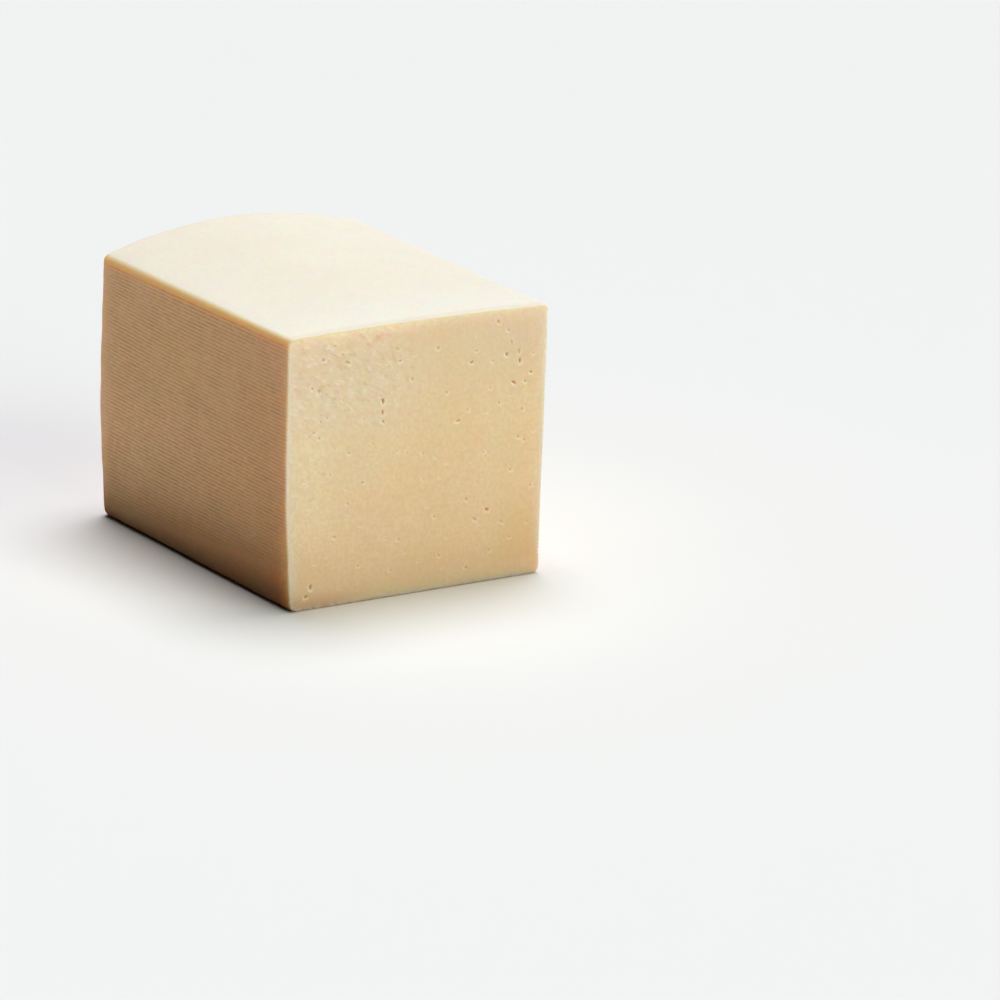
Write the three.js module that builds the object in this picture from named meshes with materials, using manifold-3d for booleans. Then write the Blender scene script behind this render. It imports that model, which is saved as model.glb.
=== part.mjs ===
// A block of havarti: the end part of a brick-shaped loaf, standing on its base.
// Millimetres, +Z up. The loaf's length runs along Y: the knife-cut face looks to -Y and the
// moulded end to +Y. The origin is in the middle of the footprint, on the base.
import * as THREE from 'three';
import { mergeVertices } from 'three/addons/utils/BufferGeometryUtils.js';
import Module from 'manifold-3d';

// Overall sizes of the block
const LENGTH = 144.5; // from the cut to the moulded end, along the base
const BASE_WIDTH = 112; // across the base, at the cut
const SIDE_HEIGHT = 108; // from the base to the long top edges
const DRAFT = 3.4; // how much wider the top is than the base
const TAPER = 3; // how much wider the moulded end is than the cut end
const CUT_SKEW = THREE.MathUtils.degToRad(-1.3); // the cut seen from above, against a square one
const CUT_LEAN = THREE.MathUtils.degToRad(1); // the cut leans back at the top
const END_SKEW = THREE.MathUtils.degToRad(0.5); // the moulded end seen from above

// How far each face swells out of flat, at the cut and at the moulded end
const CROWN = { cut: 1.2, end: 9.2 };
const LEFT_SWELL = { cut: 1.4, end: 2.1 };
const RIGHT_SWELL = { cut: 0.2, end: 0.8 };
const SWELL_LOWERED = 0.8; // under 1 moves the fullest part of a side below the middle

// Edge radii: soft where the mould formed them, crisp at the knife's cut
const TOP_EDGE = 2.5;
const BASE_EDGE = 3;
const END_EDGE = 4.5;
const CUT_EDGE = 0.7;
const EDGE_STEPS = 4; // facets round the quarter turn of a moulded edge

// Fine ridges that the mould leaves along both sides
const RIDGE_PITCH = 1.55;
const RIDGE_DEPTH = 0.3;
const RIDGE_LOWEST = 14; // the side is smooth below this height
const RIDGE_TOP_MARGIN = 4.5; // smooth band under the top edge
const RIDGE_FADE = 8; // the ridges grow to full depth over this height
const RIDGE_END_RUN = 6; // and fade over this length before the rounded end
const RIDGE_END_SHARE = 0.35; // what is left of them at the end

const TOP_STEPS = 14; // facets across the crowned top
const LENGTH_STEPS = 3; // stations along the plain stretch of the loaf

// Eyes, the small openings that the knife lays bare, as they lie on the cut face:
// [across from the middle, height, long size, short size, turn in degrees from level]
const NOTED_EYES = [
  // a slit and the short chain that hangs under it
  [-15.5, 78, 2.3, 1.2, 90],
  [-15.5, 73.5, 2.1, 1.0, 85],
  [-15.3, 70, 2.0, 0.9, 135],
  // the gash by the lower left corner
  [-47, 8.5, 2.8, 1.3, 85],
  [-49, 5, 2.9, 0.9, 20],
  // the cluster at the upper right
  [42, 78.5, 2.5, 1.1, 150],
  [44.5, 87, 2.2, 1.1, 90],
  [44, 90.8, 2.4, 0.9, 92],
  [38.5, 90, 1.8, 1.4, 65],
  [47, 78.5, 1.6, 1.1, 105],
  [49.5, 82, 1.6, 1.0, 165],
  [40.5, 95, 2.6, 0.8, 105],
  [23, 88.5, 1.6, 1.4, 0],
  [34.5, 103.5, 2.0, 1.0, 135],
  // scattered along the right, down to the base
  [46, 67.5, 1.6, 1.1, 150],
  [17.5, 66, 2.4, 1.1, 0],
  [47.5, 55, 1.6, 1.2, 165],
  [44.5, 56.5, 1.7, 1.0, 150],
  [22, 34, 1.8, 1.1, 140],
  [31.5, 28.5, 2.3, 1.1, 150],
  [26, 25.5, 2.6, 1.1, 150],
  [38, 23, 2.7, 1.1, 155],
  [22.5, 6.5, 1.6, 1.0, 165],
  // tears at the upper left
  [-10, 98, 3.2, 1.1, 158],
  [-31, 95.5, 3.2, 1.0, 155],
];
const SMALL_EYES = 22; // further small ones, drawn at random
const SMALL_EYE_SIZE = { least: 0.9, most: 1.5 };
const SMALL_EYE_NARROWNESS = 0.7; // short size over long size
const SMALL_EYE_CLEARANCE = 2.5; // from any other eye, centre to centre
const TO_THE_RIGHT = 1.4; // over 1 draws more of them to the right
const TO_THE_TOP = 0.7; // under 1 draws more of them high up
const FACE_MARGIN = 6; // kept clear of eyes along the edges of the cut
const EYE_DEPTH_SHARE = 0.8; // depth of an eye, as a share of its long size
const EYE_UNEVENNESS = 0.18; // how far its wall wanders in and out
const EYE_SIDES = 8;
const EYE_TIERS = 6;
const SEED = 11;

const HALF = BASE_WIDTH / 2;
const RIDGE_HIGHEST = SIDE_HEIGHT - RIDGE_TOP_MARGIN;
const SAME_POINT = 1e-4; // points closer than this are one

const wasm = await Module();
wasm.setup();

// Repeatable numbers from 0 to 1, by repeated multiplication modulo a prime
function seededRandom(seed) {
  const multiplier = 16807;
  const prime = 2147483647;
  let state = seed;
  return () => {
    state = (state * multiplier) % prime;
    return state / prime;
  };
}

// Fullness of a swelling side: 0 at the base and the top edge, 1 a little below the middle
function fullness(level) {
  return Math.sin(Math.PI * level ** SWELL_LOWERED);
}

function levelOf(height) {
  return THREE.MathUtils.clamp(height / SIDE_HEIGHT, 0, 1);
}

// Half width of the section at the cut, on the side that x is on
function halfWidth(x, level) {
  const swell = x < 0 ? LEFT_SWELL : RIGHT_SWELL;
  return HALF + (DRAFT / 2) * level + swell.cut * fullness(level);
}

// Depth of the ridge pattern at a height: crests on whole pitches, valleys half way between
function ridgeInset(height) {
  if (height < RIDGE_LOWEST || height > RIDGE_HIGHEST) return 0;
  const phase = (height - RIDGE_LOWEST) / RIDGE_PITCH;
  const valley = 0.5 - 0.5 * Math.cos(2 * Math.PI * phase);
  const growth = THREE.MathUtils.smoothstep(height, RIDGE_LOWEST, RIDGE_LOWEST + RIDGE_FADE);
  return RIDGE_DEPTH * valley * growth;
}

// The heights at which a side turns from crest to valley and back
function ridgeHeights() {
  const count = Math.floor((RIDGE_HIGHEST - RIDGE_LOWEST) / (RIDGE_PITCH / 2));
  return Array.from({ length: count + 1 }, (_, k) => RIDGE_LOWEST + (k * RIDGE_PITCH) / 2);
}

// Rounded rectangle of the mould, with a point wherever the section bends
function mouldOutline() {
  const outline = new THREE.Path();
  const right = HALF - BASE_EDGE;
  const shoulder = HALF - TOP_EDGE;
  const brow = SIDE_HEIGHT - TOP_EDGE;
  const heights = ridgeHeights();
  outline.moveTo(-right, 0);
  outline.lineTo(right, 0);
  outline.absarc(right, BASE_EDGE, BASE_EDGE, -Math.PI / 2, 0, false);
  heights.forEach((height) => outline.lineTo(HALF, height));
  outline.absarc(shoulder, brow, TOP_EDGE, 0, Math.PI / 2, false);
  for (let k = 1; k < TOP_STEPS; k += 1) {
    outline.lineTo(shoulder - (2 * shoulder * k) / TOP_STEPS, SIDE_HEIGHT);
  }
  outline.absarc(-shoulder, brow, TOP_EDGE, Math.PI / 2, Math.PI, false);
  heights.reverse().forEach((height) => outline.lineTo(-HALF, height));
  outline.absarc(-right, BASE_EDGE, BASE_EDGE, Math.PI, 1.5 * Math.PI, false);
  return outline.getPoints(EDGE_STEPS / 2);
}

// A point of the mould's rectangle, moved to where the section at the cut has it
function sectionPoint({ x, y: height }) {
  const level = levelOf(height);
  const share = x / HALF;
  const ridge = Math.abs(x) === HALF ? Math.sign(x) * ridgeInset(height) : 0;
  const crown = CROWN.cut * (1 - share ** 2) * level;
  return new THREE.Vector2(share * halfWidth(x, level) - ridge, height + crown);
}

// Where the leaning, skewed cut lies along the loaf
function cutPlane(x, z) {
  return x * Math.tan(CUT_SKEW) + z * Math.tan(CUT_LEAN);
}

// Stations from the moulded end to the cut: how far along the loaf, how much the section
// draws in for a rounded edge, and how much of the ridges is there
function loafStations() {
  const stations = [];
  for (let k = 0; k <= EDGE_STEPS; k += 1) {
    const turn = ((Math.PI / 2) * k) / EDGE_STEPS;
    const setback = END_EDGE * (1 - Math.cos(turn));
    const inset = END_EDGE * (1 - Math.sin(turn));
    stations.push({ along: LENGTH - setback, inset, ridges: RIDGE_END_SHARE });
  }
  const plain = LENGTH - END_EDGE - RIDGE_END_RUN;
  for (let k = 0; k <= LENGTH_STEPS; k += 1) {
    const along = THREE.MathUtils.lerp(plain, CUT_EDGE, k / LENGTH_STEPS);
    stations.push({ along, inset: 0, ridges: 1 });
  }
  stations.push({ along: 0, inset: CUT_EDGE / 2, ridges: 1 });
  return stations;
}

// A point of the cut section carried to a station: wider, fuller and more crowned towards the end
function loftPoint(x, height, { along, inset, ridges }) {
  const run = along / LENGTH;
  const level = levelOf(height);
  const swell = x < 0 ? LEFT_SWELL : RIGHT_SWELL;
  const share = x / halfWidth(x, level);
  const onSide = Math.abs(share) > 1 - (2 * RIDGE_DEPTH) / HALF;
  const widening = run * (TAPER / 2 + (swell.end - swell.cut) * fullness(level));
  const levelled = onSide ? (1 - ridges) * ridgeInset(height) : 0;
  const wide = x + share * widening + Math.sign(x) * levelled;
  const high = height + run * (CROWN.end - CROWN.cut) * (1 - share ** 2) * level;
  const middle = SIDE_HEIGHT / 2;
  const px = wide * (1 - inset / HALF);
  const pz = middle + (high - middle) * (1 - inset / middle);
  const front = cutPlane(px, pz);
  const back = LENGTH + px * Math.tan(END_SKEW);
  return new THREE.Vector3(px, front + (back - front) * run, pz);
}

// The loaf without its eyes: the cut section extruded by stations, then lofted
function loafGeometry() {
  const section = new THREE.Shape(mouldOutline().map(sectionPoint));
  const stations = loafStations();
  const steps = stations.length - 1;
  const geometry = new THREE.ExtrudeGeometry(section, { depth: steps, steps, bevelEnabled: false });
  const position = geometry.getAttribute('position');
  for (let k = 0; k < position.count; k += 1) {
    const station = stations[Math.round(position.getZ(k))];
    const point = loftPoint(position.getX(k), position.getY(k), station);
    position.setXYZ(k, point.x, point.y, point.z);
  }
  return geometry;
}

// Small openings drawn at random, most of them to the right of the face and high up
function scatteredEyes(random) {
  const eyes = [...NOTED_EYES];
  const wanted = NOTED_EYES.length + SMALL_EYES;
  const reach = HALF - FACE_MARGIN;
  while (eyes.length < wanted) {
    const x = reach * (1 - 2 * random() ** TO_THE_RIGHT);
    const height = FACE_MARGIN + (SIDE_HEIGHT - 2 * FACE_MARGIN) * random() ** TO_THE_TOP;
    const size = THREE.MathUtils.lerp(SMALL_EYE_SIZE.least, SMALL_EYE_SIZE.most, random());
    const turn = 180 * random();
    const clear = eyes.every(([ex, ez]) => Math.hypot(ex - x, ez - height) > SMALL_EYE_CLEARANCE);
    if (clear) eyes.push([x, height, size, size * SMALL_EYE_NARROWNESS, turn]);
  }
  return eyes;
}

// One eye as an uneven ball, set half into the cut face
function eyeGeometry([x, height, long, short, turn], random) {
  const ball = new THREE.SphereGeometry(1, EYE_SIDES, EYE_TIERS);
  const geometry = mergeVertices(bareGeometry(ball), SAME_POINT);
  const position = geometry.getAttribute('position');
  for (let k = 0; k < position.count; k += 1) {
    const wander = 1 + EYE_UNEVENNESS * (2 * random() - 1);
    position.setXYZ(k, position.getX(k) * wander, position.getY(k), position.getZ(k) * wander);
  }
  const centre = sectionPoint(new THREE.Vector2(x, height));
  geometry.scale(long / 2, long * EYE_DEPTH_SHARE, short / 2);
  geometry.rotateY(-THREE.MathUtils.degToRad(turn));
  geometry.translate(centre.x, cutPlane(centre.x, centre.y), centre.y);
  return geometry;
}

// A geometry with nothing but its points, so that points in one place can be merged
function bareGeometry(geometry) {
  geometry.deleteAttribute('normal');
  geometry.deleteAttribute('uv');
  return geometry;
}

function toSolid(geometry) {
  const merged = mergeVertices(bareGeometry(geometry), SAME_POINT);
  const vertProperties = new Float32Array(merged.getAttribute('position').array);
  const triVerts = new Uint32Array(merged.getIndex().array);
  return new wasm.Manifold(new wasm.Mesh({ numProp: 3, vertProperties, triVerts }));
}

function fromSolid(solid) {
  const { vertProperties, triVerts } = solid.getMesh();
  const geometry = new THREE.BufferGeometry();
  geometry.setAttribute('position', new THREE.BufferAttribute(vertProperties, 3));
  geometry.setIndex(new THREE.BufferAttribute(triVerts, 1));
  geometry.computeVertexNormals();
  return geometry;
}

// The whole block, stood with the middle of its footprint at the origin
function blockGeometry() {
  const random = seededRandom(SEED);
  const eyes = scatteredEyes(random);
  const carve = (solid, eye) => solid.subtract(toSolid(eyeGeometry(eye, random)));
  const geometry = fromSolid(eyes.reduce(carve, toSolid(loafGeometry())));
  geometry.computeBoundingBox();
  const { min, max } = geometry.boundingBox;
  geometry.translate(-(min.x + max.x) / 2, -(min.y + max.y) / 2, -min.z);
  return geometry;
}

const cheese = new THREE.MeshStandardMaterial({ color: '#ecdcb2', roughness: 0.55, metalness: 0 });

const block = new THREE.Mesh(blockGeometry(), cheese);
block.name = 'havarti_block';

const havarti = new THREE.Group();
havarti.add(block);

export default havarti;
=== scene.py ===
# %% [markdown]
# # A cut block of havarti
# Havarti is a pale, semi-soft cheese that is pressed in a brick-shaped mould. This block is the end
# part of such a loaf. Its top is smooth and crowned, its sides carry the fine ridges of the mould,
# and one flat face shows where the knife went through.
# The lesson builds the block as one closed mesh in the place of the packed solid, gives it one
# material, and lights it like a studio picture. Sizes are in millimetres until the mesh is made.

# %% Load the packed block
import math

import bpy
import numpy as np
from mathutils import Euler, Matrix, Vector, geometry, kdtree, noise


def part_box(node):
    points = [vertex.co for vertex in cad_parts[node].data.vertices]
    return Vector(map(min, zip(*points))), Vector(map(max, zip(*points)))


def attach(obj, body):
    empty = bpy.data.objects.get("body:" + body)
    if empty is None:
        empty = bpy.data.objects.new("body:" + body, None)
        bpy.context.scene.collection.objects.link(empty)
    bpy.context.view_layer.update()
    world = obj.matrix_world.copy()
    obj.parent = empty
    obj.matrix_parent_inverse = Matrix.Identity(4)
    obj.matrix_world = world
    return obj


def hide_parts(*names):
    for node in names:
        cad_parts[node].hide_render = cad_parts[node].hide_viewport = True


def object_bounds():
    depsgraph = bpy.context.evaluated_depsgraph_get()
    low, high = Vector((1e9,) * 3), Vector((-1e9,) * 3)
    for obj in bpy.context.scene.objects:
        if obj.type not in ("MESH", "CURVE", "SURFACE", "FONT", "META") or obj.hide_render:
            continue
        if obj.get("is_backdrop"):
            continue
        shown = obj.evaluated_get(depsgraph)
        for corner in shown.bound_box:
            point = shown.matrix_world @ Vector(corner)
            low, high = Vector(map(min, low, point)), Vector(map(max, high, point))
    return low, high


MM = 0.001  # in metres, which the frame is in

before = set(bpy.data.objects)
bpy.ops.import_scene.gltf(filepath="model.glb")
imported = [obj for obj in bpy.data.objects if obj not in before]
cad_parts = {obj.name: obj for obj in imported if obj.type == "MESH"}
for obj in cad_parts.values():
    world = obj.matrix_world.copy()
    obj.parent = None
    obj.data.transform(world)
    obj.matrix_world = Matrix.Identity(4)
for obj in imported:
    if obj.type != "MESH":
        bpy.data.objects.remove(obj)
cad_box = [list(corner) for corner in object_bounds()]
lowest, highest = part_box("havarti_block")
print("packed block, mm:", [round(side / MM, 1) for side in highest - lowest])

# %% [markdown]
# ## The camera
# The picture was taken from the front left, a little above the block, with a long lens: the edges
# that run away from us hardly draw together. A long lens far away gives that, where a short lens
# close by would spread the near corner. The small roll keeps the block's slight tilt in the frame.

# %% Stand the camera
CAMERA_AT = Vector((-1.1904, -1.9174, 0.7229))  # metres
PITCH_DOWN = math.radians(17.309)
TURN_RIGHT = math.radians(33.652)
ROLL = math.radians(1.790)
LENS = 216
SENSOR = 36  # its width, in millimetres like the lens


def stand_camera():
    data = bpy.data.cameras.new("camera")
    data.lens = LENS
    data.sensor_width = SENSOR
    camera = bpy.data.objects.new("camera", data)
    bpy.context.scene.collection.objects.link(camera)
    level_aim = Euler((math.pi / 2 - PITCH_DOWN, 0, -TURN_RIGHT)).to_matrix()
    aim = level_aim @ Matrix.Rotation(ROLL, 3, "Z")
    camera.matrix_world = Matrix.Translation(CAMERA_AT) @ aim.to_4x4()
    bpy.context.scene.camera = camera
    return camera


print("camera looks along", stand_camera().matrix_world.to_quaternion() @ Vector((0, 0, -1)))

# %% [markdown]
# ## The loaf's form
# A mould gives a brick of cheese a little draft, so the top is wider than the base, and the fresh
# curd swells: the sides bow out and the top is crowned, most of all away from the cut. One could
# push a cube about by hand, but here every point of a plain rectangle, the mould, is carried to its
# place by one formula. The same formula then serves the sides, the end and the cut.

# %% Carry a point of the mould's rectangle along the loaf
LENGTH = 144.5  # from the cut to the moulded end
HALF = 56.0  # half the width of the base at the cut
HEIGHT = 108.0  # from the base to the long top edges
DRAFT = 3.4  # how much wider the top is than the base
TAPER = 3.0  # how much wider the moulded end is than the cut
CROWN = (1.2, 9.2)  # rise of the top's middle, at the cut and at the end
LEFT_SWELL = (1.4, 2.1)
RIGHT_SWELL = (0.2, 0.8)
SWELL_LOWERED = 0.8  # under 1 moves the fullest part of a side below the middle
CUT_SKEW = math.tan(math.radians(-1.3))
CUT_LEAN = math.tan(math.radians(1.0))
END_SKEW = math.tan(math.radians(0.5))


def loft(x, height, along, inset):
    """Carries points of the mould to a section of the loaf, drawn in all round by the inset."""
    run = along / LENGTH
    share = x / HALF
    level = np.clip(height / HEIGHT, 0, 1)
    full = np.sin(np.pi * level**SWELL_LOWERED)
    left, right = (swell[0] + run * (swell[1] - swell[0]) for swell in (LEFT_SWELL, RIGHT_SWELL))
    half = HALF + DRAFT / 2 * level + run * TAPER / 2 + np.where(x < 0, left, right) * full
    crown = (CROWN[0] + run * (CROWN[1] - CROWN[0])) * (1 - share**2) * level
    wide = share * half * (1 - inset / HALF)
    high = HEIGHT / 2 + (height + crown - HEIGHT / 2) * (1 - 2 * inset / HEIGHT)
    front = wide * CUT_SKEW + high * CUT_LEAN
    back = LENGTH + wide * END_SKEW
    return np.stack([wide, front + (back - front) * run, high], -1)


print("top of the crown at the end, mm:", loft(np.zeros(1), np.full(1, HEIGHT), LENGTH, 0).round(1))

# %% [markdown]
# ## The outline of the section
# The ridges are 1.51 mm apart, so a side needs a row of points every quarter of that to show crest
# and valley. The outline is made of four runs that meet in the middle of the rounded corners. Runs
# that face each other have the same number of points, which lets a square grid close the end later.

# %% Draw the mould's rounded rectangle
TOP_EDGE = 1.9  # radius of the long top edges
BASE_EDGE = 3.0
RIDGE_PITCH = 1.51
RIDGE_LOWEST = 4.3  # smooth below this height
RIDGE_HIGHEST = HEIGHT - 2.5
ROWS_PER_RIDGE = 4
COLUMNS = 52  # across the top and the base
CORNER_STEPS = 3  # for each half of a corner


def corner(x, height, radius, first):
    turn = np.radians(first + np.linspace(0, 45, CORNER_STEPS + 1))
    return np.stack([x + radius * np.cos(turn), height + radius * np.sin(turn)], -1)


def straight(xs, heights):
    return np.stack(np.broadcast_arrays(xs, heights), -1).astype(float)


def mould_runs():
    """The base, the right side, the top and the left side: each ends where the next one starts."""
    foot, brow = HALF - BASE_EDGE, HALF - TOP_EDGE
    shoulder = HEIGHT - TOP_EDGE
    below = (BASE_EDGE + RIDGE_LOWEST) / 2
    ridged = np.arange(RIDGE_LOWEST, RIDGE_HIGHEST, RIDGE_PITCH / ROWS_PER_RIDGE)
    rows = np.concatenate([[below], ridged, [(ridged[-1] + shoulder) / 2]])
    across = np.linspace(-1, 1, COLUMNS + 1)[1:-1]
    base = [corner(-foot, BASE_EDGE, BASE_EDGE, 225), straight(foot * across, 0),
            corner(foot, BASE_EDGE, BASE_EDGE, 270)]
    right = [corner(foot, BASE_EDGE, BASE_EDGE, 315), straight(HALF, rows),
             corner(brow, shoulder, TOP_EDGE, 0)]
    top = [corner(brow, shoulder, TOP_EDGE, 45), straight(-brow * across, HEIGHT),
           corner(-brow, shoulder, TOP_EDGE, 90)]
    left = [corner(-brow, shoulder, TOP_EDGE, 135), straight(-HALF, rows[::-1]),
            corner(-foot, BASE_EDGE, BASE_EDGE, 180)]
    return [np.concatenate(run) for run in (base, right, top, left)]


runs = mould_runs()
outline = np.concatenate([run[:-1] for run in runs])
print("points round the section:", len(outline))

# %% [markdown]
# ## The ridges
# The lining of the mould has pressed fine ridges into the sides. A bump in the material could draw
# them, but they end as small teeth at the edge of the cut, so they are modelled. They climb a little
# towards the moulded end, and the base stays smooth below them, on the left most of all by the cut.

# %% Soft steps and lumps
def ease(values, start, end):
    """A soft step: 0 up to the start, 1 from the end on."""
    step = np.clip((values - start) / (end - start), 0, 1)
    return step * step * (3 - 2 * step)


def lumps(points, *layers):
    """Adds layers of smooth unevenness: size of a lump in mm, its height, and which noise."""
    total = np.zeros(len(points))
    for size, height, shift in layers:
        offset = Vector((shift, 2 * shift, 3 * shift))
        values = [noise.noise(Vector(point) / size + offset) for point in points]
        total += height * np.array(values)
    return total


print("a quarter of the way up a soft step:", ease(0.25, 0, 1))

# %% Shape a ridge
RIDGE_FADE = 4.0  # how far up it takes from no ridge to a full one
RIDGE_START_RISE = 12.0  # on the left, how much higher the ridges start at the cut than at the end
WEAKER_BY_CUT = 0.35  # on the left, what a ridge loses right at the cut
WEAKER_STRETCH = (0.0, 9.0)  # along the loaf
RIDGE_CLIMB = 2.2  # how much the ridges rise towards the end, high up on the sides
CLIMB_FULL = 75.0  # the height at which they rise fully
CLIMB_ENDS = 88.0  # the height from which they draw together again, under the top edge


def valley(height):
    """0 on the crest of a ridge and 1 in the valley, without fading."""
    return 0.5 - 0.5 * np.cos(2 * np.pi * (height - RIDGE_LOWEST) / RIDGE_PITCH)


def ridge_share(x, height, along):
    """How much of a ridge there is: none at the base, and on the left less of it by the cut."""
    left = x < 0
    start = RIDGE_LOWEST + left * RIDGE_START_RISE * (1 - along / LENGTH)
    by_cut = 1 - WEAKER_BY_CUT * left * (1 - ease(along, *WEAKER_STRETCH))
    return ease(height, start, start + RIDGE_FADE) * (height <= RIDGE_HIGHEST) * by_cut


def climb(height, along):
    """How much higher a row of the sides lies than in a straight mould."""
    share = ease(height, 0, CLIMB_FULL) * (1 - ease(height, CLIMB_ENDS, RIDGE_HIGHEST))
    return RIDGE_CLIMB * (along / LENGTH) ** 3 * share


print("ridges on a side:", int((RIDGE_HIGHEST - RIDGE_LOWEST) / RIDGE_PITCH))

# %% [markdown]
# ## The walls
# Top, base and sides are one skin, lofted through stations along the loaf. An extruded outline would
# look machined. On real cheese the ridges are strong in some patches and worn in others, they waver
# and die away at the moulded end, and the skin is a little lumpy all over, as pressed curd is. Slow
# noise on depth and height gives that.

# %% Place the stations
END_EDGE = 4.5  # radius of the edge round the moulded end
END_STEPS = 7
CUT_EDGE = 1.1  # how far the edge that the knife left is rounded
KNIFE_CURVE = [(0, 0.5), (0.17, 0.23), (0.5, 0.07), (1, 0)]  # along and inset, as shares of CUT_EDGE
LENGTH_STATIONS = 66


def stations():
    """How far along the loaf each station is, and how far its outline draws in."""
    turn = np.linspace(0, np.pi / 2, END_STEPS)[::-1]
    knife = CUT_EDGE * np.array(KNIFE_CURVE)
    plain = np.linspace(CUT_EDGE, LENGTH - END_EDGE, LENGTH_STATIONS)[1:-1]
    rounded = np.stack([LENGTH - END_EDGE * (1 - np.cos(turn)), END_EDGE * (1 - np.sin(turn))], -1)
    return np.concatenate([knife, np.stack([plain, 0 * plain], -1), rounded])


marks = stations()
print("stations along the loaf:", len(marks))

# %% Loft the walls
RIDGE_DEPTH = (0.64, 0.24)  # at the base and at the top edge
RIDGE_STRENGTH = 0.85
RIDGE_PATCHES = ((17, 0.2, 3.1), (5.5, 0.25, 8.4))  # size, how much stronger, which noise
STRENGTH_LIMITS = (0.3, 1.3)
RIDGE_WAVER = (26, 0.16, 7.9)
END_LOSS = 0.85  # what a ridge loses at the moulded end
END_LOSS_STRETCH = (133.0, 141.0)  # along the loaf
SKIN_WAVES = (34, 0.28, 5.7)
SKIN_LUMPS = (11, 1.0, 1.3)
LUMP_HEIGHT = (0.1, 0.35)  # along the loaf and at the end
LUMPIER_STRETCH = (118.0, 142.0)
GOLDEN_LINE = (5.2, 1.6, 0.5)  # below the top edge: where it sets in, is full, and fades


def wall_points():
    """The rings of the skin, and each point's share of a groove and of the golden line."""
    tangent = np.roll(outline, -1, 0) - np.roll(outline, 1, 0)
    outward = np.stack([tangent[:, 1], -tangent[:, 0]], -1)
    outward /= np.linalg.norm(outward, axis=1, keepdims=True)
    x, height = outline.T
    on_side = np.abs(x) > HALF - 1e-6
    sets_in, full, fades = (HEIGHT - below for below in GOLDEN_LINE)
    rim = ease(height, sets_in, full) * (1 - ease(height, fades, HEIGHT))
    depth = RIDGE_DEPTH[0] + (RIDGE_DEPTH[1] - RIDGE_DEPTH[0]) * height / HEIGHT
    points, grooves = [], []
    for along, inset in marks:
        ring = loft(x, height, along, inset)
        strength = np.clip(RIDGE_STRENGTH + lumps(ring, *RIDGE_PATCHES), *STRENGTH_LIMITS)
        strength *= on_side * (1 - END_LOSS * ease(along, *END_LOSS_STRETCH))
        groove = strength * ridge_share(x, height, along) * valley(height)
        uneven = LUMP_HEIGHT[0] + (LUMP_HEIGHT[1] - LUMP_HEIGHT[0]) * ease(along, *LUMPIER_STRETCH)
        swell = lumps(ring, SKIN_WAVES) + uneven * lumps(ring, SKIN_LUMPS) - depth * groove
        swell *= height > 0
        ring[:, 0] += outward[:, 0] * swell
        ring[:, 2] += outward[:, 1] * swell + on_side * lumps(ring, RIDGE_WAVER)
        ring[:, 2] += on_side * climb(height, along)
        ring[:, 2] = np.maximum(ring[:, 2], 0)
        points.append(ring)
        grooves.append(groove)
    return np.array(points), np.array(grooves), np.tile(rim, (len(marks), 1))


walls, grooves, rims = wall_points()
print("wall points:", walls.shape[0], "stations of", walls.shape[1])

# %% [markdown]
# ## The moulded end
# The end out of the picture was pressed against the same lining as the sides, so it is ridged like
# them. A fan of triangles would close it, but could not carry ridges. A square grid can: it blends
# the four runs of the outline, and its rows lie at the same heights as the rows of the sides.

# %% Close the end with a ridged grid
END_RIDGE_DEPTH = 0.22
END_RIDGE_STRENGTH = 0.7
END_PATCHES = ((17, 0.5, 4.4), (5.5, 0.4, 2.2))
END_STRENGTH_LIMITS = (0.1, 1.3)
END_RIDGE_MARGIN = (3.0, 10.0)  # in from the border: no ridge up to the first, full from the second
END_LUMPS = ((30, 0.5, 9.2), (11, 0.12, 6.1))
END_LUMP_MARGIN = (0.0, 12.0)


def blend_runs():
    base, right, top, left = runs
    u = np.linspace(0, 1, len(base))[None, :, None]
    v = np.linspace(0, 1, len(right))[:, None, None]
    below, above = base[None], top[::-1][None]
    west, east = left[::-1][:, None], right[:, None]
    corners = ((1 - u) * (1 - v) * base[0] + u * (1 - v) * base[-1]
               + (1 - u) * v * top[-1] + u * v * top[0])
    return (1 - v) * below + v * above + (1 - u) * west + u * east - corners


def from_edge(x, height):
    """How far in from the mould's rectangle a point lies."""
    return np.minimum(HALF - np.abs(x), np.minimum(height, HEIGHT - height))


def end_points():
    grid = blend_runs()[1:-1, 1:-1]
    x, height = grid.reshape(-1, 2).T
    points = loft(x, height, LENGTH, END_EDGE)
    margin = from_edge(x, height)
    strength = np.clip(END_RIDGE_STRENGTH + lumps(points, *END_PATCHES), *END_STRENGTH_LIMITS)
    strength *= ease(margin, *END_RIDGE_MARGIN)
    groove = strength * ridge_share(x, height, LENGTH) * valley(height)
    swell = lumps(points, *END_LUMPS) * ease(margin, *END_LUMP_MARGIN)
    points[:, 1] += swell - END_RIDGE_DEPTH * groove
    points[:, 2] += climb(height, LENGTH)
    return points, groove, grid.shape[:2]


end, end_groove, end_shape = end_points()
print("grid of the end:", end_shape)

# %% [markdown]
# ## Eyes in the cut
# The knife lays bare small openings, the eyes: slits and pinholes from 1 to 3 mm, most of them at
# the right and high up. They could be cut out with a Boolean, which leaves hard rims and slivers.
# Here each eye is a small bowl in the skin, with a ragged lip. Its floor lies higher than its mouth,
# so its lower wall faces up and catches the light, and its upper wall stays dark.

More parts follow.
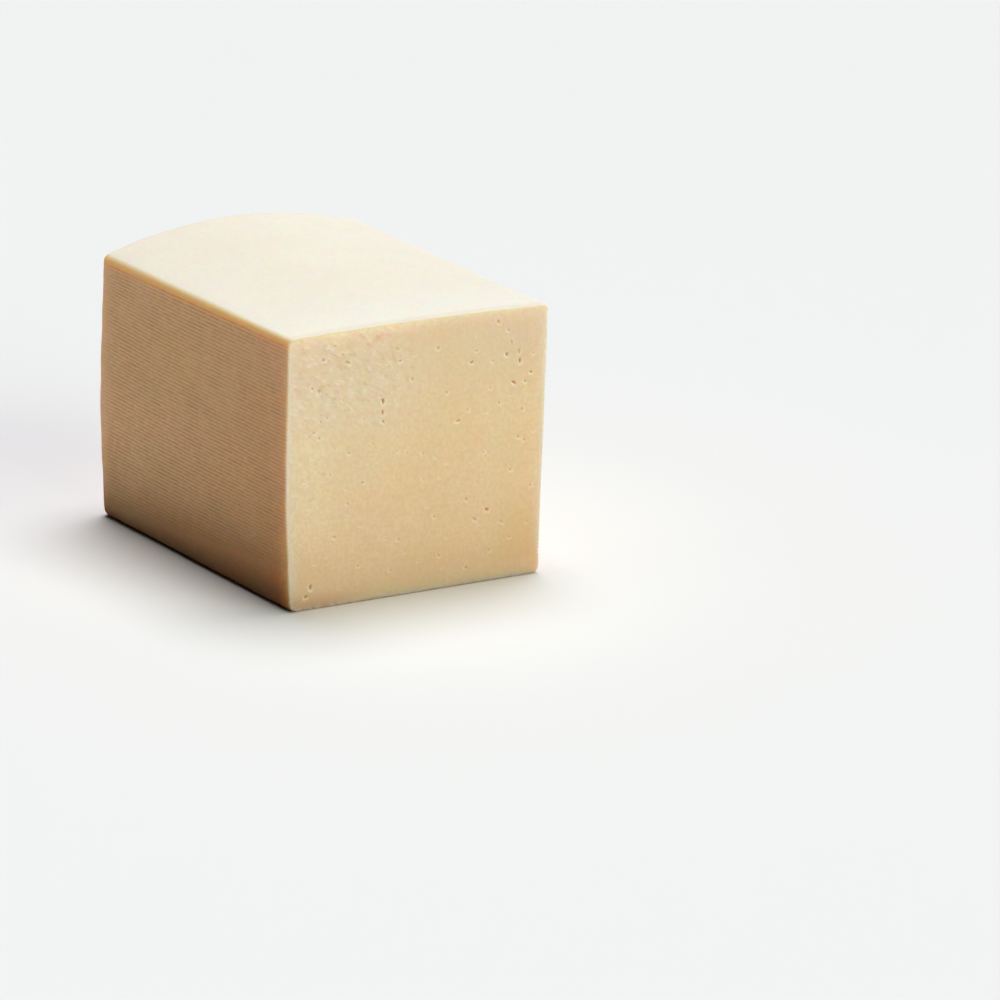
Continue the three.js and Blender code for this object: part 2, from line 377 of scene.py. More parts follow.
# %% List the eyes
SEED = 11
EYES = [  # across from the middle, height, long size, short size, turn in degrees, depth from 0 to 1
    (-15.5, 78, 2.7, 1.1, 88, 1.0), (-15.5, 73.5, 2.4, 0.9, 85, 0.8), (-15.3, 70, 2.0, 0.8, 135, 0.7),
    (-46.8, 8.6, 2.7, 1.2, 80, 0.8), (-49, 5, 2.6, 0.8, 28, 1.0),
    (42, 78.5, 2.6, 0.9, 150, 1.0), (44.5, 87, 2.4, 0.9, 90, 1.0), (44, 90.8, 2.4, 0.9, 92, 0.6),
    (38.5, 90, 1.8, 1.1, 65, 1.0), (47, 78.5, 1.6, 0.9, 105, 0.8), (49.5, 82, 1.6, 0.9, 165, 0.9),
    (40.5, 95, 2.6, 0.8, 105, 0.45), (23, 88.5, 1.8, 1.1, 30, 1.0), (34.5, 103.5, 2.0, 1.0, 135, 0.7),
    (46, 67.5, 1.6, 1.1, 150, 0.6), (17.5, 66, 2.4, 1.1, 0, 0.7), (47.5, 55, 1.6, 1.2, 165, 0.6),
    (44.5, 56.5, 1.7, 1.0, 150, 0.6), (22, 34, 1.8, 1.1, 140, 0.7), (31.5, 28.5, 2.3, 1.1, 150, 0.9),
    (26, 25.5, 2.6, 1.1, 150, 0.6), (38, 23, 2.7, 1.1, 155, 0.5), (22.5, 6.5, 1.6, 1.0, 165, 0.6),
    (-10, 98, 3.2, 1.1, 158, 0.3), (-31, 95.5, 3.2, 1.0, 155, 0.6),
]
PINHOLES = [  # smaller ones: across from the middle, height
    (-32.5, 81), (-39.5, 75), (-43, 86), (-46, 87.5), (-8.5, 93), (-41.5, 98), (39, 99.7),
    (-45, 70), (31.5, 77.5), (25, 93), (-42, 73.7), (21.5, 70), (7.6, 29), (32.4, 88),
    (-33.5, 99), (50.5, 89.5), (35.7, 71), (-36.7, 102.7), (42, 16), (-42.6, 67.3),
    (-30, 59.7), (-30.5, 39.7), (41.5, 43.5), (-3, 85), (8, 96), (-24, 47), (2, 55), (12, 78),
    (-20, 62), (-38, 52), (29, 52), (33, 12), (-8, 22), (-26, 14), (51, 36), (10, 13), (-36, 27),
]
print("noted eyes:", len(EYES), "and pinholes:", len(PINHOLES))

# %% Add sizes and faint pinholes at random
PINHOLE_LONG = (1.0, 1.7)
PINHOLE_SLIM = (0.55, 0.85)  # short size as a share of the long one
PINHOLE_DEEP = (0.45, 0.8)
TURNS = (110, 190)  # degrees
FAINT = 40  # how many more there are, hardly sunk
FAINT_ACROSS = (-52, 52)
FAINT_HEIGHT = (5, 104)
FAINT_LONG = (0.8, 1.3)
FAINT_SHORT = (0.5, 0.8)
FAINT_DEEP = (0.15, 0.4)
FAINT_GAP = 4  # from the middle of any other eye


def all_eyes(random):
    """The noted eyes, then pinholes with sizes and turns drawn at random, then faint ones anywhere."""
    eyes = list(EYES)
    for x, height in PINHOLES:
        long = random.uniform(*PINHOLE_LONG)
        short, turn = long * random.uniform(*PINHOLE_SLIM), random.uniform(*TURNS)
        eyes.append((x, height, long, short, turn, random.uniform(*PINHOLE_DEEP)))
    while len(eyes) < len(EYES) + len(PINHOLES) + FAINT:
        x, height = random.uniform(*FAINT_ACROSS), random.uniform(*FAINT_HEIGHT)
        long, short = random.uniform(*FAINT_LONG), random.uniform(*FAINT_SHORT)
        turn = random.uniform(*TURNS)
        if min(math.hypot(x - eye[0], height - eye[1]) for eye in eyes) > FAINT_GAP:
            eyes.append((x, height, long, short, turn, random.uniform(*FAINT_DEEP)))
    return eyes


eyes = all_eyes(np.random.default_rng(SEED))
print("eyes on the cut:", len(eyes))

# %% Ring every eye with points
RING_SIDES = 12
EYE_RINGS = (  # share of the eye's size, what is added to it in mm, share of its depth, lip
    (1.0, 1.05, 0.0, 0.0), (1.0, 0.65, 0.0, 0.7), (1.0, 0.3, 0.0, 1.0), (1.0, 0.0, 0.1, 0.3),
    (0.8, 0.0, 0.55, 0.0), (0.55, 0.0, 0.9, 0.0), (0.25, 0.0, 1.0, 0.0),
)
EYE_DEPTH = 0.26  # as a share of the long size
FLOOR_RISE = 0.2  # how much higher the floor lies than the mouth, as a share of the short size
WANDER = 0.3  # how uneven an eye's outline is
LIP_HEIGHT = 0.13
LIP_RAGGED = (0.4, 1.0)
LIP_FULL = (0.75, 1.0)
LIP_SIDE = (-1.7, 0.6)  # radians: the lip is fullest below the eye, give or take
LIP_ALL_ROUND = 0.3
LIP_ONE_SIDED = 0.9
RING_GAP = 0.4  # a ring keeps this clear of other eyes


def turned(points, x, height, tilt):
    """Where points lie along and across a line through this place, tilted in degrees."""
    tilt = math.radians(tilt)
    du, dv = points[:, 0] - x, points[:, 1] - height
    return du * math.cos(tilt) + dv * math.sin(tilt), dv * math.cos(tilt) - du * math.sin(tilt)


def in_eye(points, eye, margin):
    """Which points lie inside an eye that is widened by this margin."""
    x, height, long, short, tilt, _ = eye
    u, v = turned(points, x, height, tilt)
    return np.hypot(u / (long / 2 + margin), v / (short / 2 + margin)) < 1


def eye_rings(random):
    """Rings of points for every eye: place, depth in mm, share of the full depth, and lip."""
    turn = np.linspace(0, 2 * np.pi, RING_SIDES, endpoint=False)
    table = []
    for number, (x, height, long, short, tilt, deep) in enumerate(eyes):
        tilt = math.radians(tilt)
        wander = 1 + WANDER * (random.random(RING_SIDES) * 2 - 1)
        ragged = random.uniform(*LIP_RAGGED, RING_SIDES) * random.uniform(*LIP_FULL) * deep**0.5
        fullest = random.normal(*LIP_SIDE)
        for size, added, depth, edge in EYE_RINGS:
            u = (size * long / 2 * wander + added) * np.cos(turn)
            v = (size * short / 2 * wander + added) * np.sin(turn)
            px = x + u * math.cos(tilt) - v * math.sin(tilt)
            pz = height + u * math.sin(tilt) + v * math.cos(tilt)
            towards = np.cos(np.arctan2(pz - height, px - x) - fullest)
            lip = edge * ragged * np.clip(LIP_ALL_ROUND + LIP_ONE_SIDED * towards, 0, 1)
            sunk = deep * depth * EYE_DEPTH * long - lip * LIP_HEIGHT
            owner, share = (np.full(RING_SIDES, value) for value in (number, deep * depth))
            table.append(np.stack([px, pz + FLOOR_RISE * depth * short, sunk, share, lip, owner], -1))
    table = np.concatenate(table)
    for number, eye in enumerate(eyes):
        table = table[(table[:, 5] == number) | ~in_eye(table, eye, RING_GAP)]
    return table[:, :2], table[:, 2], table[:, 3], table[:, 4]


print("points in the rings of one eye:", RING_SIDES * len(EYE_RINGS))

# %% [markdown]
# ## The cut face
# At the upper left the blade has torn the curd and left shallow scoops that run down to the right.
# A noise texture would blur them, so the cut is a height field: how deep the surface lies at each
# place. Points are strewn over the mould's rectangle, closer where the curd is torn and in rings
# round each eye. A Delaunay triangulation joins them to the edge of the walls later.

# %% Say where the curd is torn
LEFT_SHARE = 0.35  # how torn the left is below the worst of it


def torn(x, height):
    """How torn the curd is, from 0 to 1: most at the upper left, and a little along the left."""
    high_left = ease(-x, -14, 20) * ease(height, 55, 82)
    along_left = ease(-x, 5, 40) * ease(height, 20, 50)
    return np.maximum(high_left, LEFT_SHARE * along_left)


print("torn at the upper left:", torn(np.array([-50.0]), np.array([100.0])))

# %% Strew points between the eyes
FINE_STEP = 0.72  # between points where the curd is torn
ROW_STEP = 0.866 * FINE_STEP  # rows of a grid of equal triangles
FINE_FROM = 0.25  # how torn the curd is where the points get closer
JITTER = 0.4  # as a share of the step
FIRST_POINT = 0.7  # in from the edge
EDGE_GAP = 0.65
CORNER_GAP = 0.6
EYE_GAP = 1.2


def strewn(random):
    """Scattered points inside the edge, clear of the eyes."""
    xs = np.arange(-HALF + FIRST_POINT, HALF - CORNER_GAP, FINE_STEP)
    rows = np.arange(FIRST_POINT, HEIGHT - CORNER_GAP, ROW_STEP)
    x, height = np.meshgrid(xs, rows)
    x = x + FINE_STEP / 2 * (np.arange(len(rows)) % 2)[:, None]
    coarse = ((np.arange(len(xs)) % 2)[None] + (np.arange(len(rows)) % 2)[:, None]) == 0
    points = np.stack([x, height], -1) + (random.random(x.shape + (2,)) - 0.5) * JITTER * FINE_STEP
    points = points[coarse | (torn(x, height) > FINE_FROM)]
    past_x = np.clip(np.abs(points[:, 0]) - (HALF - BASE_EDGE), 0, None)
    past_z = np.clip(np.abs(points[:, 1] - HEIGHT / 2) - (HEIGHT / 2 - BASE_EDGE), 0, None)
    in_corner = np.hypot(past_x, past_z) < BASE_EDGE - CORNER_GAP
    points = points[in_corner & (from_edge(*points.T) > EDGE_GAP)]
    for eye in eyes:
        points = points[~in_eye(points, eye, EYE_GAP)]
    return points


print("steps across the cut:", round(2 * HALF / FINE_STEP))

# %% Sink the tears
TEARS = 190
TEAR_ACROSS = (-54, 20)
TEAR_HEIGHT = (20, 106)
TEAR_LONG = (1.2, 4.2)
TEAR_SLIM = 0.5  # width as a share of the length
TEAR_TILT = (152, 25)  # degrees: the mean, and how much it varies
TEAR_DEEP = (0.1, 0.36)
TEAR_LOPSIDED = 0.7  # how much deeper the upper end is


def tear_depth(points, random):
    """Shallow scoops, deepest at their upper end, where the curd was torn."""
    depth = np.zeros(len(points))
    made = 0
    while made < TEARS:
        x, height, pick = random.uniform(*TEAR_ACROSS), random.uniform(*TEAR_HEIGHT), random.random()
        long, tilt = random.uniform(*TEAR_LONG), random.normal(*TEAR_TILT)
        deep = random.uniform(*TEAR_DEEP)
        if pick > torn(np.array([x]), np.array([height]))[0]:
            continue
        made += 1
        u, v = turned(points, x, height, tilt)
        u, v = u / (long / 2), v / (long / 2 * TEAR_SLIM)
        depth += deep * np.clip(1 - u**2 - v**2, 0, 1) ** 1.5 * (1 + TEAR_LOPSIDED * u)
    return depth


print("tears in the curd:", TEARS)

# %% Put the cut together
CRUMBLE = (3.0, 1.0, 6.6)
CRUMBLE_HEIGHT = (0.03, 0.18)  # where the cut is clean and where it is torn
CUT_WAVES = (30, 0.2, 2.6)
CALM_EDGE = 2.5  # the cut is flat right at the edge


def cut_points():
    """Places on the cut, their depth, and their shares of eye, lip, curd and tearing."""
    random = np.random.default_rng(SEED)
    rings, ring_depth, ring_share, ring_lip = eye_rings(random)
    loose = strewn(random)
    flat = np.concatenate([rings, loose])
    none = np.zeros(len(loose))
    level = np.insert(flat, 1, 0, axis=1)
    rough = torn(*flat.T)
    crumble = CRUMBLE_HEIGHT[0] + (CRUMBLE_HEIGHT[1] - CRUMBLE_HEIGHT[0]) * rough
    curd = tear_depth(flat, random) + crumble * lumps(level, CRUMBLE)
    calm = ease(from_edge(*flat.T), 0, CALM_EDGE)
    depth = np.concatenate([ring_depth, none]) + calm * (curd + lumps(level, CUT_WAVES))
    shares, lips = (np.concatenate([part, none]) for part in (ring_share, ring_lip))
    return flat, depth, shares, lips, curd, rough


cut_flat, cut_depth, cut_eye, cut_lip, cut_curd, cut_rough = cut_points()
print("points on the cut:", len(cut_flat))

# %% [markdown]
# ## One closed skin
# Three separate meshes would have to be welded. Here walls, end and cut share the points of their
# edges, so the mesh has no seam that could open. Each point also keeps a few plain numbers for the
# material: whether it lies on the cut, how far behind the cut or from its edge, and how deep in an
# eye, a tear or a groove.

# %% Number the corners of the faces
def wall_faces():
    ring = np.arange(len(outline))
    following = np.roll(ring, -1)
    faces = []
    for station in range(len(marks) - 1):
        here, there = station * len(ring), (station + 1) * len(ring)
        faces.append(np.stack([here + ring, there + ring, there + following, here + following], -1))
    return np.concatenate(faces).tolist()


def end_faces(first):
    """Quads of the end: its border is the last ring of the walls."""
    rim = (len(marks) - 1) * len(outline)
    starts = np.cumsum([0] + [len(run) - 1 for run in runs])
    rows, columns = end_shape[0] + 2, end_shape[1] + 2
    number = np.zeros((rows, columns), int)
    number[1:-1, 1:-1] = first + np.arange(end_shape[0] * end_shape[1]).reshape(end_shape)
    number[0, :] = rim + np.arange(starts[0], starts[1] + 1)
    number[:, -1] = rim + np.arange(starts[1], starts[2] + 1)
    number[-1, ::-1] = rim + np.arange(starts[2], starts[3] + 1)
    number[::-1, 0] = rim + np.arange(starts[3], starts[4] + 1) % len(outline)
    quads = [number[:-1, :-1], number[1:, :-1], number[1:, 1:], number[:-1, 1:]]
    return np.stack(quads, -1).reshape(-1, 4).tolist()


def cut_faces(first):
    """Triangles of the cut: the edge points are 0 onwards, the others start at first."""
    border = len(outline)
    flat = [Vector(point) for point in np.concatenate([outline, cut_flat])]
    edge = [(k, (k + 1) % border) for k in range(border)]
    _, _, faces, ids, _, _ = geometry.delaunay_2d_cdt(flat, edge, [], 1, 1e-5)
    number = [kept[0] if kept[0] < border else kept[0] - border + first for kept in ids]
    return [[number[k] for k in face] for face in faces]


wall_count = walls.shape[0] * walls.shape[1]
faces = wall_faces() + end_faces(wall_count) + cut_faces(wall_count + len(end))
print("faces:", len(faces), "triangles:", sum(len(face) - 2 for face in faces))

# %% Bring the points to the packed block's place
def shift_to_frame(points):
    """Moves the loaf to where the packed block is: the middle of its footprint at the origin."""
    low, high = points.min(0), points.max(0)
    return points - [(low[0] + high[0]) / 2, (low[1] + high[1]) / 2, 0]


sunk = loft(*cut_flat.T, 0.0, CUT_EDGE / 2)
sunk[:, 1] += cut_depth
points = shift_to_frame(np.concatenate([walls.reshape(-1, 3), end, sunk]))
print("points:", len(points))

# %% Measure how far in each point of the cut lies
def edge_distance():
    """Distance of each point of the cut from the block's edge, in mm."""
    tree = kdtree.KDTree(len(outline))
    for k, (x, height) in enumerate(outline):
        tree.insert((x, 0, height), k)
    tree.balance()
    return np.array([tree.find((x, 0, height))[2] for x, height in cut_flat])


cut_inward = edge_distance()
print("middle of the cut is from its edge, mm:", cut_inward.max().round(1))

# %% Make the block's mesh
KNIFE_SHARE = [[0.95], [0.8], [0.55], [0.2]]  # how much the first stations look like the cut


def note(mesh, name, on_walls=0.0, on_end=0.0, on_cut=0.0):
    """Keeps a number for each point of the mesh under this name."""
    parts = zip((on_walls, on_end, on_cut), (grooves.shape, end_groove.shape, cut_depth.shape))
    values = [np.broadcast_to(part, shape).ravel() for part, shape in parts]
    attribute = mesh.attributes.new(name, "FLOAT", "POINT")
    attribute.data.foreach_set("value", np.concatenate(values).astype(np.float32))


def make_block():
    mesh = bpy.data.meshes.new("havarti")
    mesh.from_pydata((points * MM).tolist(), [], faces)
    near_cut = np.zeros(grooves.shape)
    near_cut[:len(KNIFE_SHARE)] = KNIFE_SHARE
    note(mesh, "cut", on_walls=near_cut, on_cut=1.0)
    note(mesh, "inward", on_cut=cut_inward)
    note(mesh, "behind", on_walls=marks[:, :1], on_end=LENGTH)
    note(mesh, "groove", on_walls=grooves, on_end=end_groove)
    note(mesh, "rim", on_walls=rims)
    note(mesh, "eye", on_cut=cut_eye)
    note(mesh, "lip", on_cut=cut_lip)
    note(mesh, "curd", on_cut=cut_curd)
    note(mesh, "torn", on_cut=cut_rough)
    mesh.shade_smooth()
    block = bpy.data.objects.new("havarti", mesh)
    bpy.context.scene.collection.objects.link(block)
    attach(block, "root")
    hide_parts("havarti_block")
    return block


block = make_block()
kept_numbers = [kept.name for kept in block.data.attributes if kept.data_type == "FLOAT"]
print("numbers kept with each point:", kept_numbers)

# %% [markdown]
# ## Writing a material as sums
# A material is a graph of nodes. Drawing it by hand is slow to read, so one small class stands for
# the output of a node and lets Python's own signs add the Math nodes: `1 - mask` becomes a node.
# Colours and directions have methods of their own, because a Math node would turn them grey.

# %% The wire class
class Wire:
    def __init__(self, tree, socket=None):
        self.tree = tree
        self.socket = socket

    def node(self, kind, settings, inputs, output=0):
        """Adds any node: its settings first, then the values or wires of its inputs."""
        made = self.tree.nodes.new(kind)
        for name, value in settings.items():
            setattr(made, name, value)
        for key, value in inputs.items():
            if isinstance(value, Wire):
                self.tree.links.new(value.socket, made.inputs[key])
            else:
                made.inputs[key].default_value = value
        return Wire(self.tree, made.outputs[output])

    def math(self, operation, *values):
        return self.node("ShaderNodeMath", {"operation": operation}, dict(enumerate(values)))

    def __add__(self, other):
        return self.math("ADD", self, other)

    def __sub__(self, other):
        return self.math("SUBTRACT", self, other)

    def __rsub__(self, other):
        return self.math("SUBTRACT", other, self)

    def __mul__(self, other):
        return self.math("MULTIPLY", self, other)

    __radd__ = __add__
    __rmul__ = __mul__

    def between(self, start, end):
        """0 below start, 1 above end, with a soft step."""
        return self.node("ShaderNodeMapRange", {"interpolation_type": "SMOOTHSTEP"},
                         {"Value": self, "From Min": start, "From Max": end})

    def tint(self, plain, full):
        """A colour that goes from plain to full as this value goes from 0 to 1."""
        return self.node("ShaderNodeMix", {"data_type": "RGBA"}, {0: self, 6: plain, 7: full}, 2)

    def scaled(self, factors):
        """A direction or place with each of its parts multiplied."""
        return self.node("ShaderNodeVectorMath", {"operation": "MULTIPLY"}, {0: self, 1: factors})


print("ways to go on from a wire:", [name for name in vars(Wire) if name[0] != "_"])

# %% Take colours as a screen shows them
def paint(red, green, blue):
    """A screen colour from 0 to 255 as the linear colour that a shader takes."""
    shares = (channel / 255 for channel in (red, green, blue))
    return tuple(s / 12.92 if s <= 0.04045 else ((s + 0.055) / 1.055) ** 2.4 for s in shares) + (1.0,)


print("butter yellow, linear:", [round(part, 3) for part in paint(237, 222, 183)])

# %% [markdown]
# ## The cheese
# Havarti is pale butter yellow, a little greasy, and light goes a few millimetres into it: that is
# why the edge under the bright top glows gold and no shadow on it is hard. A picture could carry the
# colours, but it would have to be unwrapped and would smear on the other sides. So noise, the place
# in the block and the numbers kept in the mesh mix them. This cell makes what rind and paste share.
# All places below are in millimetres, across from the middle of the block and up from its base.

# %% Start the cheese
cheese = bpy.data.materials.new("havarti_paste")
cheese.use_nodes = True
sheet = Wire(cheese.node_tree)
place = sheet.node("ShaderNodeTexCoord", {}, {}, "Object").scaled((1 / MM, 1 / MM, 1 / MM))
across, level = (sheet.node("ShaderNodeSeparateXYZ", {}, {0: place}, axis) for axis in "XZ")


def noted(name):
    return sheet.node("ShaderNodeAttribute", {"attribute_name": name}, {}, "Fac")


def cloud(size, detail=2.0, stretch=(1, 1, 1), where=place):
    """Noise from 0 to 1, with spots of about this size in millimetres."""
    inputs = {"Vector": where.scaled(stretch), "Scale": 1 / size, "Detail": detail}
    return sheet.node("ShaderNodeTexNoise", {}, inputs, "Fac")


mottle = cloud(22, 3).between(0.3, 0.7)
fleck = cloud(2.6, 3).between(0.35, 0.75)
crumb = cloud(1.5, 3).between(0.35, 0.65)
# painted shade: rind and paste are painted darker and browner towards the base
base_shade = 1 - level.between(2, 24)
print("nodes for place and noise:", len(cheese.node_tree.nodes))

# %% [markdown]
# ## The rind
# The top is almost white, and painted paler still by the cut, where more light falls, and towards its
# left edge, to make up for the light it misses there; right along the cut it has a painted shade. The
# sides carry painted shade at the foot, most of all on the left, and the valleys of the ridges are
# painted darker than their crests, as painted shade. Low down next to the cut, and in a patch half way
# up near the cut, the sides are painted paler, as painted light. Under the long top edges the light
# from above comes through as a thin golden line. One colour for each face would leave seams at the
# edges, so each of these is a soft mask that tints the colour before it.

# %% Colour the rind
def rind_colour():
    groove, rim, behind = noted("groove"), noted("rim"), noted("behind")
    upper = level.between(HEIGHT - 2.5, HEIGHT - 0.5)
    by_cut = 1 - behind.between(4, 47)
    shade_on_top_by_cut = upper * (1 - behind.between(0, 5))
    belly = level.between(20, 42) * (1 - level.between(50, 66)) * behind.between(12, 32)
    foot = (1 - level.between(10, 28)) * behind.between(2, 9) * (1 - behind.between(83, 123))
    foot = foot * (0.3 + 0.7 * (0 - across).between(0, 50))
    knife_edge = (1 - behind.between(2, 9)) * (1 - level.between(18, 40))
    patchy_groove_shade = cloud(1.6, 2, (1, 0.45, 1)).between(0.3, 0.6)
    foot_shade_colour = crumb.tint(paint(243, 207, 161), paint(230, 193, 147))
    rind = (mottle * 0.6 + fleck * 0.4).tint(paint(241, 230, 200), paint(238, 225, 192))
    # painted light: the top is painted paler towards the cut, where more light falls
    rind = (upper * by_cut * 0.6).tint(rind, paint(242, 235, 210))
    # painted light: the top is painted paler towards its left edge, to make up for the light it misses
    # there
    rind = (upper * (0 - across).between(20, 56) * 0.6).tint(rind, paint(246, 234, 203))
    # painted shade: a darker band on the top, right along the cut
    rind = (shade_on_top_by_cut * 0.55).tint(rind, paint(222, 206, 174))
    rind = ((1 - upper) * 0.3).tint(rind, paint(249, 236, 202))
    # painted light: a patch half way up the sides, near the cut, is painted paler
    rind = (belly * 0.65).tint(rind, paint(255, 238, 209))
    # painted shade: the rind is painted darker towards the base
    rind = (base_shade * 0.5).tint(rind, paint(228, 200, 148))
    # painted shade: the foot of the sides is painted browner and darker, most of all on the left
    rind = (foot * 0.8).tint(rind, foot_shade_colour)
    # painted shade: the valleys of the ridges are painted darker, more in some patches
    rind = (groove * (0.4 + 0.6 * patchy_groove_shade)).tint(rind, paint(206, 184, 144))
    # painted light: the sides are painted paler low down next to the cut
    rind = (knife_edge * 0.9).tint(rind, paint(255, 241, 196))
    rind = (crumb * (0.5 - upper * 0.35)).tint(rind, paint(228, 212, 175))
    return (rim * 0.6).tint(rind, paint(250, 217, 132))


rind = rind_colour()
print("nodes with the rind:", len(cheese.node_tree.nodes))

# %% [markdown]
# ## The paste
# Inside, the cheese is mottled: paler high up and at the left, yellower at the right. Towards the foot
# it is painted darker and browner, as painted shade, most of all in the lower left corner, and a patch
# at the middle left is painted paler, as painted light. Along its edge it is paler, partly dried and
# partly painted light. Where the knife tore the curd, short strokes run down to the right: the raised
# ones are painted whitish as a highlight, the sunk ones honey-coloured as shade, and the tears
# likewise. The strokes are noise that is turned first and then stretched, because stretched noise
# alone runs level.

# %% Turn the strokes
SWEEP = 30  # degrees, how steeply the knife's strokes run down to the right
swept = sheet.node("ShaderNodeVectorRotate", {"rotation_type": "Y_AXIS"},
                   {"Vector": place, "Angle": math.radians(-SWEEP)})
stroke = cloud(1.4, 1, (0.45, 1, 1), swept)
inward, torn_curd = noted("inward"), noted("torn")
leftward = (0 - across).between(-30, 50)
print("nodes with the strokes:", len(cheese.node_tree.nodes))

# %% Colour the paste
def paste_colour():
    middle_left = (0 - across).between(30, 48) * level.between(16, 34) * (1 - level.between(60, 84))
    low_right = across.between(28, 46) * (1 - level.between(20, 40)) * level.between(4, 10)
    low_left = (0 - across).between(15, 45) * (1 - level.between(1, 9))
    dried_and_lit_edge = (1 - inward.between(0.8, 5.5)) * level.between(3, 14)
    paste = (mottle * 0.7 + fleck * 0.3).tint(paint(243, 229, 197), paint(240, 223, 187))
    paste = (level.between(40, 100) * leftward * 0.8).tint(paste, paint(242, 230, 209))
    paste = (level.between(60, 104) * 0.5).tint(paste, paint(229, 215, 186))
    paste = (across.between(8, 34) * level.between(80, 100) * 0.5).tint(paste, paint(235, 224, 208))
    # painted light: a patch at the middle left of the cut is painted paler
    paste = (middle_left * 0.6).tint(paste, paint(249, 242, 212))
    paste = (low_right * 0.5).tint(paste, paint(228, 214, 160))
    # painted shade: the paste is painted darker towards the base
    paste = (base_shade * 0.25).tint(paste, paint(230, 203, 152))
    # painted shade: the lower left corner of the cut is painted darker and pinker
    paste = (low_left * 0.6).tint(paste, paint(207, 157, 135))
    # partly a dried edge and partly painted light: the cut is painted paler along its edge, most of
    # all at the left
    paste = (dried_and_lit_edge * 0.75).tint(paste, leftward.tint(paint(236, 230, 216), paint(248, 238, 220)))
    return (crumb * 0.4).tint(paste, paint(228, 209, 169))


def torn_colour(paste):
    curd = noted("curd")
    bloom = cloud(3.6, 2).between(0.4, 0.62)
    paste = (torn_curd * (0.3 + 0.4 * bloom)).tint(paste, paint(239, 229, 211))
    # painted highlight and shade: raised strokes are painted whitish and sunk ones honey-coloured
    paste = (torn_curd * (1 - stroke.between(0.25, 0.42)) * 0.55).tint(paste, paint(250, 246, 236))
    paste = (torn_curd * stroke.between(0.56, 0.76) * 0.38).tint(paste, paint(217, 194, 144))
    # painted shade in the tears, and painted highlight on what stands up between them
    paste = (curd.between(0.05, 0.4) * 0.4).tint(paste, paint(226, 203, 155))
    return ((0 - curd).between(0.03, 0.16) * 0.5).tint(paste, paint(248, 242, 228))


paste = torn_colour(paste_colour())
print("nodes with the paste:", len(cheese.node_tree.nodes))

# %% [markdown]
# ## Eyes and knife edge
# Each eye has a ragged lip, painted whitish as a highlight, most of all below. Its wall is painted
# golden and its floor honey-brown, as painted shade, because the light there has been through more
# cheese. The very edge of the cut is paler in flecks, and along the top edge of the cut a thin line is
# painted darker, as painted shade. The numbers kept in the mesh say where all this is, so the colours
# stay on their eyes and edges from every side.

# %% Colour the eyes and the edge
def eyes_and_edge(paste):
    eye, lip = noted("eye"), noted("lip")
    under_top = level.between(HEIGHT - 3, HEIGHT - 1)
    edge_flecks = (1 - inward.between(0.1, 1.3)) * crumb * (1 - under_top)
    shade_under_top_edge = (1 - inward.between(0.1, 1.0)) * under_top
    # painted highlight: the lip of each eye is painted whitish, most of all on its lower side
    paste = lip.tint(paste, paint(255, 253, 246))
    # painted shade: the walls and floors of the eyes are painted golden and honey-brown
    paste = eye.between(0.08, 0.8).tint(paste, paint(226, 195, 122))
    paste = (eye.between(0.6, 1.0) * 0.7).tint(paste, paint(214, 150, 66))
    # the very edge of the cut is paler, in flecks
    paste = (edge_flecks * 0.7).tint(paste, paint(255, 251, 243))
    # painted shade: a thin darker line along the top edge of the cut
    return (shade_under_top_edge * 0.8).tint(paste, paint(222, 209, 186))


paste = eyes_and_edge(paste)
print("nodes with the eyes:", len(cheese.node_tree.nodes))

# %% [markdown]
# ## One material
# The mesh says how much of each point is cut, which mixes rind and paste. Fine grain, the knife's
# upright streaks and the torn strokes lift the surface by a few hundredths of a millimetre, too
# little to model, so they are a bump. Light goes in through subsurface scattering, red the deepest.

# %% Mix the cheese
GLOW = (1.0, 0.55, 0.22)  # how far red, green and blue go in, against each other
GLOW_DEPTH = 0.008  # metres
BUMP_HEIGHT = 0.00006  # metres
DULL = 0.48  # roughness, before the mottling
CHEESE_IOR = 1.42
GREASE = 0.1  # how much the surface shines


def finish_cheese():
    cut = noted("cut")
    grain = cloud(1.4, 3)
    streaks = cloud(0.8, 1, (1, 1, 0.06)) * cut
    lifted = grain + streaks * 0.4 - torn_curd * stroke.between(0.45, 0.7) * 1.6
    bump = sheet.node("ShaderNodeBump", {},
                      {"Strength": 1.0, "Distance": BUMP_HEIGHT, "Height": lifted})
    rough = DULL + mottle * 0.08 + crumb * 0.04 - cut * 0.04
    shader = cheese.node_tree.nodes["Principled BSDF"]
    wires = {"Base Color": cut.tint(rind, paste), "Roughness": rough, "Normal": bump}
    for name, wire in wires.items():
        cheese.node_tree.links.new(wire.socket, shader.inputs[name])
    shader.inputs["Subsurface Weight"].default_value = 1.0
    shader.inputs["Subsurface Radius"].default_value = GLOW
    shader.inputs["Subsurface Scale"].default_value = GLOW_DEPTH
    shader.inputs["IOR"].default_value = CHEESE_IOR
    shader.inputs["Specular IOR Level"].default_value = GREASE


finish_cheese()
block.data.materials.append(cheese)
print("nodes in the cheese:", len(cheese.node_tree.nodes))

# %% [markdown]
# ## The floor
# The block stands on a plain pale floor that runs past the edges of the frame. A pale floor throws
# light back up, which would flatten the shaded side. A photographer damps that with dark cards. Here
# two strips of the floor do it, by the cut and along the left side: they look as pale as the rest,
# but give back less light, and a warmer one.

# %% Colour the floor
RETURN_FAR = (0.93, 0.65, 0.43, 1.0)  # the warm light that the block gets from the floor
RETURN_FRONT = (0.68, 0.19, 0.01, 1.0)  # from the floor close to the cut
RETURN_LEFT = (0.05, 0.01, 0.0, 1.0)  # and from a strip along the left side
FRONT_STRIP = (0.066, 0.072, 0.1, 0.15)  # where each strip sets in and where it ends, in metres
LEFT_STRIP = (0.052, 0.058, 0.075, 0.095)
BESIDE = (0.066, 0.09)  # where the left strip ends in front of the cut
STRIP_TAPER = 0.15  # the left strip is narrower towards the end
FLOOR_ROUGHNESS = 0.9
FLOOR_SHINE = 0.2


